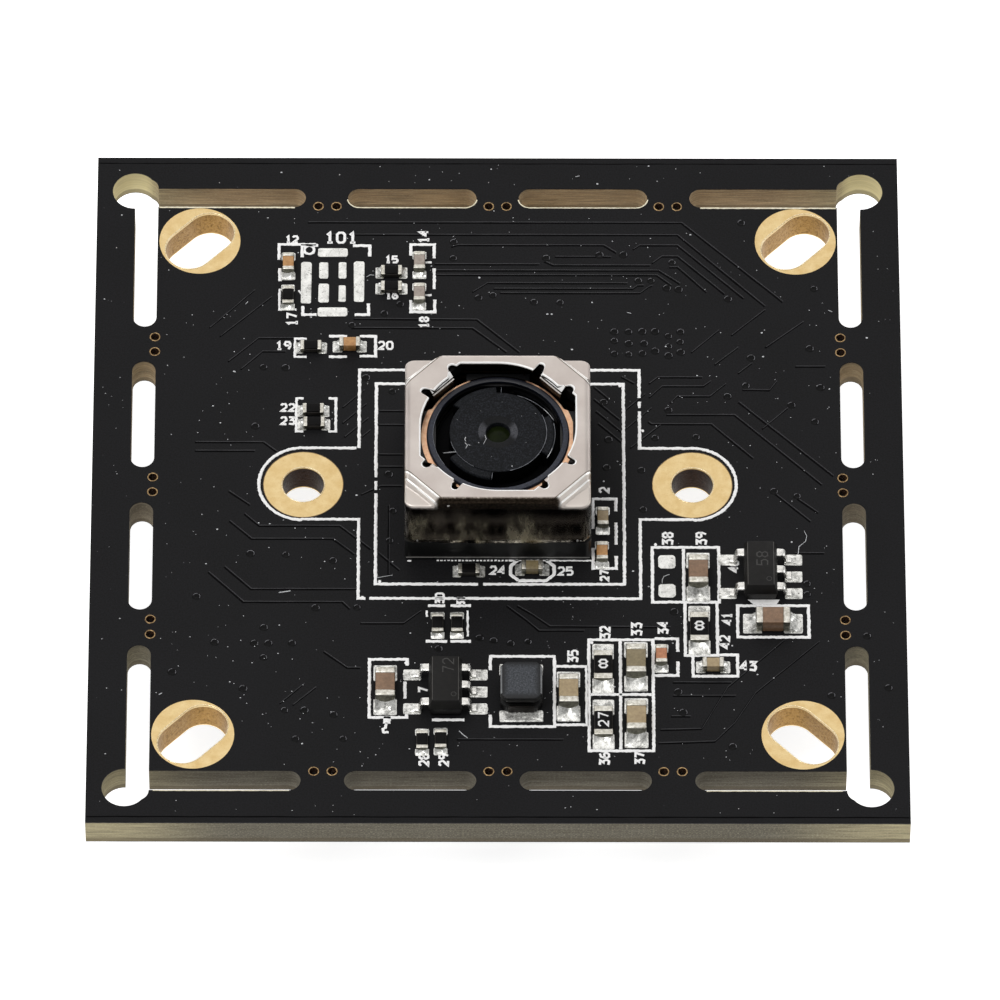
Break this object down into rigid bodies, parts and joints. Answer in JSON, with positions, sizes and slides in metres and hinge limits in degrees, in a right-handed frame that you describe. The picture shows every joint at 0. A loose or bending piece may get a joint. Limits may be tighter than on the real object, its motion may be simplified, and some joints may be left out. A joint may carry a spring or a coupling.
{
  "type": "camera module",
  "caption": "Square camera board with an autofocus lens in a steel can, slotted corner mounting holes, a break-away rim and small surface-mounted parts.",
  "frame": {"origin": "centre of the board's top face, on the lens axis, midway between the two lens holder holes", "axes": "+Z out of the board along the lens axis, towards the scene; +X along the line of the two lens holder holes, towards the side with more parts; +Y towards the edge with the wire connector underneath"},
  "size_m": [0.038, 0.038, 0.0098],
  "materials": {
    "board_black": "black solder mask over glass-epoxy laminate, semi-gloss, with white printed part outlines; tan fibrous edges where the board is routed",
    "gold_plate": "gold-flashed copper, pale gold pads with darker plated hole walls",
    "tinned_pad": "bare tinned pads",
    "black_plastic": "moulded black plastic",
    "can_steel": "drawn and satin-plated steel, bright on its bent edges, with smudges",
    "magnet_grey": "nickel-plated sintered magnet",
    "coil_copper": "enamelled copper winding",
    "carrier_plastic": "slate-blue black moulded plastic",
    "spring_copper": "etched copper-alloy leaf spring",
    "insulator_plastic": "black insulating plastic",
    "solder_tin": "tin-plated leads and lands",
    "barrel_plastic": "matt black moulded lens barrel with fine grain",
    "lens_glass": "coated moulded lens, dark olive reflection",
    "filter_glass": "clear glass with a blue-green cast",
    "sensor_silicon": "dark iridescent sensor die",
    "ic_plastic": "charcoal moulding compound",
    "inductor_grey": "dark slate-grey pressed iron powder",
    "ceramic_tan": "tan to olive-brown fired ceramic",
    "ceramic_brown": "orange-brown to mauve-grey fired ceramic",
    "chip_end_tin": "creamy tinned end caps with bright solder",
    "resistor_black": "black glazed resistor face with a plain white numeral on the larger ones",
    "crystal_steel": "nickel-silver crystal lid",
    "connector_nylon": "natural off-white nylon",
    "pin_gold": "gold-flashed contact pins"
  },
  "bodies": {
    "board_assembly": {"circuit_board": "board_black", "corner_slot_plating": "gold_plate", "holder_hole_plating": "gold_plate", "bare_pads": "tinned_pad", "actuator_base": "black_plastic", "shield_can": "can_steel", "magnets": "magnet_grey", "upper_spring": "spring_copper", "lower_spring": "spring_copper", "spring_spacer": "insulator_plastic", "coil_terminals": "solder_tin", "ir_filter": "filter_glass", "image_sensor": "sensor_silicon", "sensor_cover_glass": "filter_glass", "regulator_bodies": "ic_plastic", "regulator_leads": "solder_tin", "inductor_core": "inductor_grey", "inductor_terminals": "solder_tin", "large_capacitor_bodies": "ceramic_tan", "large_capacitor_ends": "chip_end_tin", "small_capacitor_bodies": "ceramic_brown", "small_capacitor_ends": "chip_end_tin", "large_resistor_bodies": "resistor_black", "large_resistor_ends": "chip_end_tin", "small_resistor_bodies": "resistor_black", "small_resistor_ends": "chip_end_tin", "image_processor": "ic_plastic", "processor_pads": "solder_tin", "memory_chip": "ic_plastic", "memory_chip_leads": "solder_tin", "crystal": "crystal_steel", "usb_connector_housing": "connector_nylon", "usb_connector_pins": "pin_gold", "usb_connector_tabs": "solder_tin"},
    "focus_group": {"lens_carrier": "carrier_plastic", "focus_coil": "coil_copper", "lens_barrel": "barrel_plastic", "front_lens": "lens_glass", "second_lens": "lens_glass", "third_lens": "lens_glass", "rear_lens": "lens_glass", "light_baffles": "black_plastic", "lens_retainer": "black_plastic"}
  },
  "joints": [
    {"name": "focus_slide", "type": "slide", "parent": "board_assembly", "child": "focus_group", "axis": [0, 0, 1], "range_m": [0, 0.0003], "stiffness_N_per_m": 30, "springref_m": -0.0002, "deforming": ["upper_spring", "lower_spring"]}
  ]
}
